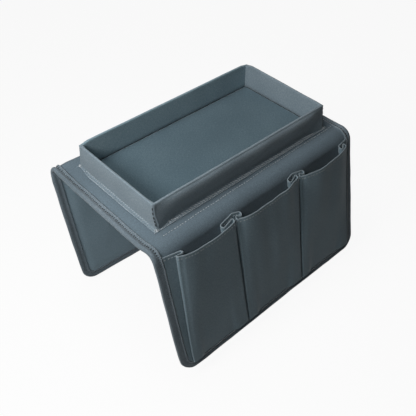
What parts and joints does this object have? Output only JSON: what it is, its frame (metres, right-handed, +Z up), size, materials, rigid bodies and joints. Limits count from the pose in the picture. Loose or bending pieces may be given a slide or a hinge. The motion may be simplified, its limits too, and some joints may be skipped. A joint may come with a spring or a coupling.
{
  "type": "sofa arm tray",
  "caption": "Padded cloth saddle for a sofa arm, with a shallow stiff-walled tray on top, side flaps that fold, and pleated pockets on the front flap.",
  "frame": {"origin": "centre of the saddle's underside, the face that lies on the sofa arm", "axes": "+Z up out of the tray, +X along the sofa arm, -Y towards the flap with the pockets"},
  "size_m": [0.36, 0.253, 0.2477],
  "materials": {
    "cover": "matte",
    "lining": "matte",
    "padding": "matte",
    "binding": "matte",
    "pocket": "matte",
    "board": "matte"
  },
  "bodies": {
    "saddle": {"top_cover": "cover", "tray_floor_cloth": "cover", "tray_cloth_front": "cover", "tray_cloth_back": "cover", "tray_cloth_left": "cover", "tray_cloth_right": "cover", "front_fold_cover": "cover", "back_fold_cover": "cover", "top_lining": "lining", "front_fold_lining": "lining", "back_fold_lining": "lining", "top_padding": "padding", "front_fold_padding": "padding", "back_fold_padding": "padding", "top_binding_left": "binding", "top_binding_right": "binding", "front_fold_bindings": "binding", "back_fold_bindings": "binding", "tray_floor_board": "board", "tray_board_front": "board", "tray_board_back": "board", "tray_board_left": "board", "tray_board_right": "board"},
    "front_flap": {"front_cover": "cover", "front_padding": "padding", "front_lining": "lining", "front_binding": "binding", "pocket_left": "pocket", "pocket_middle": "pocket", "pocket_right": "pocket"},
    "back_flap": {"back_cover": "cover", "back_padding": "padding", "back_lining": "lining", "back_binding": "binding"}
  },
  "joints": [
    {"name": "front_fold", "type": "hinge", "parent": "saddle", "child": "front_flap", "pos_m": [0, -0.1, -0.001], "axis": [-1, 0, 0], "range_deg": [-102.8, 77.2], "deforming": ["front_fold_cover", "front_fold_lining", "front_fold_padding", "front_fold_bindings"]},
    {"name": "back_fold", "type": "hinge", "parent": "saddle", "child": "back_flap", "pos_m": [0, 0.1004, 0.0007], "axis": [1, 0, 0], "range_deg": [-8, 96.7], "deforming": ["back_fold_cover", "back_fold_lining", "back_fold_padding", "back_fold_bindings"]}
  ]
}
